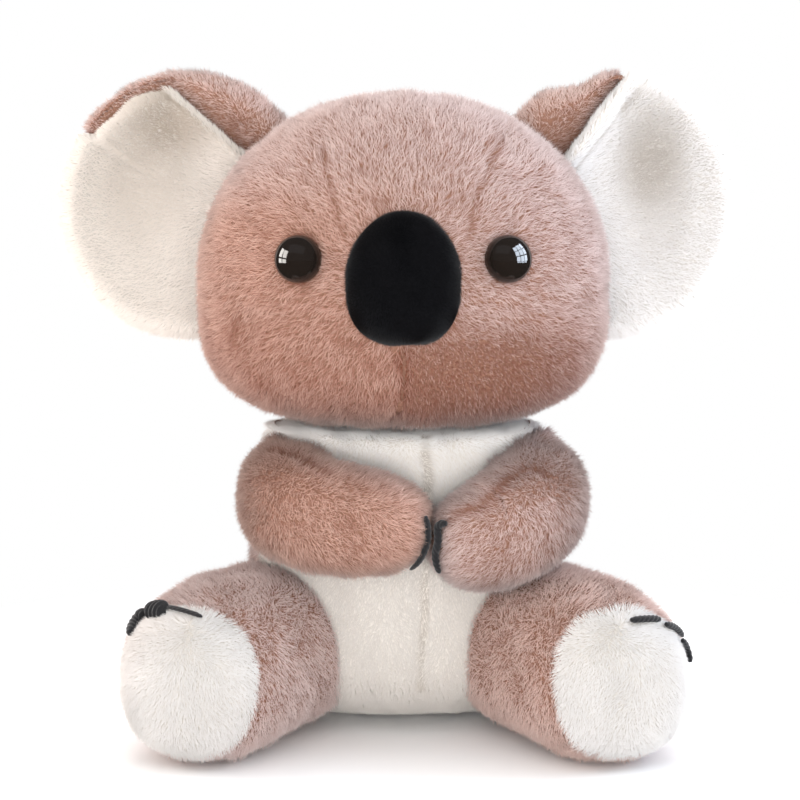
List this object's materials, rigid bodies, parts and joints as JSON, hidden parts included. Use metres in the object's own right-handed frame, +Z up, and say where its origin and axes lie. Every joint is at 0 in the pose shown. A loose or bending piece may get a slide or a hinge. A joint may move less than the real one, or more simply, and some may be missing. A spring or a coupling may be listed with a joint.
{
  "type": "plush koala",
  "caption": "Sitting plush koala with big round ears, an oval velvet nose, button eyes and a white belly; head, ears, arms and legs give at their seams.",
  "frame": {"origin": "middle of the torso's flat underside, on the surface that the toy sits on", "axes": "+Z up, -Y the way the face looks, +X towards the viewer's right"},
  "size_m": [0.296, 0.1856, 0.2826],
  "materials": {
    "brown_plush": "rose-brown polyester pile, about 12 mm long",
    "white_plush": "white polyester pile, about 10 mm long",
    "filling": "loose white polyester filling",
    "black_velvet": "short black velvet",
    "eye_plastic": "polished dark brown plastic",
    "washer_plastic": "natural plastic, as moulded",
    "black_thread": "twisted black cotton floss"
  },
  "bodies": {
    "torso": {"torso_back": "brown_plush", "belly_panel": "white_plush", "torso_filling": "filling"},
    "head": {"head_cover": "brown_plush", "head_filling": "filling", "nose": "black_velvet", "eye_left": "eye_plastic", "eye_right": "eye_plastic", "eye_washer_left": "washer_plastic", "eye_washer_right": "washer_plastic"},
    "ear_left": {"ear_lining_left": "white_plush", "ear_back_left": "brown_plush"},
    "ear_right": {"ear_lining_right": "white_plush", "ear_back_right": "brown_plush"},
    "arm_left": {"arm_cover_left": "brown_plush", "arm_filling_left": "filling", "paw_claw_left": "black_thread"},
    "arm_right": {"arm_cover_right": "brown_plush", "arm_filling_right": "filling", "paw_claw_right": "black_thread"},
    "leg_left": {"leg_cover_left": "brown_plush", "foot_pad_left": "white_plush", "leg_filling_left": "filling", "foot_claw_left_1": "black_thread", "foot_claw_left_2": "black_thread", "foot_claw_left_3": "black_thread"},
    "leg_right": {"leg_cover_right": "brown_plush", "foot_pad_right": "white_plush", "leg_filling_right": "filling", "foot_claw_right_1": "black_thread", "foot_claw_right_2": "black_thread", "foot_claw_right_3": "black_thread"}
  },
  "joints": [
    {"name": "neck_turn", "type": "hinge", "parent": "torso", "child": "head", "pos_m": [0, 0, 0.1294], "axis": [0, 0, 1], "range_deg": [-15, 15], "stiffness_Nm_per_rad": 0.1},
    {"name": "ear_fold_left", "type": "hinge", "parent": "head", "child": "ear_left", "pos_m": [-0.0785, 0.013, 0.215], "axis": [0.3312, 0, 0.9435], "range_deg": [-18, 18], "stiffness_Nm_per_rad": 0.05},
    {"name": "ear_fold_right", "type": "hinge", "parent": "head", "child": "ear_right", "pos_m": [0.0785, 0.013, 0.215], "axis": [0.3312, 0, -0.9435], "range_deg": [-18, 18], "stiffness_Nm_per_rad": 0.05},
    {"name": "arm_swing_left", "type": "hinge", "parent": "torso", "child": "arm_left", "pos_m": [-0.054, -0.012, 0.1], "axis": [-0.4104, 0, -0.9119], "range_deg": [0, 32], "stiffness_Nm_per_rad": 0.05},
    {"name": "arm_swing_right", "type": "hinge", "parent": "torso", "child": "arm_right", "pos_m": [0.054, -0.012, 0.1], "axis": [-0.4104, 0, 0.9119], "range_deg": [0, 32], "stiffness_Nm_per_rad": 0.05},
    {"name": "leg_splay_left", "type": "hinge", "parent": "torso", "child": "leg_left", "pos_m": [-0.036, 0, 0.036], "axis": [0, 0, -1], "range_deg": [-2, 18], "stiffness_Nm_per_rad": 0.1},
    {"name": "leg_splay_right", "type": "hinge", "parent": "torso", "child": "leg_right", "pos_m": [0.036, 0, 0.036], "axis": [0, 0, 1], "range_deg": [-2, 18], "stiffness_Nm_per_rad": 0.1}
  ]
}
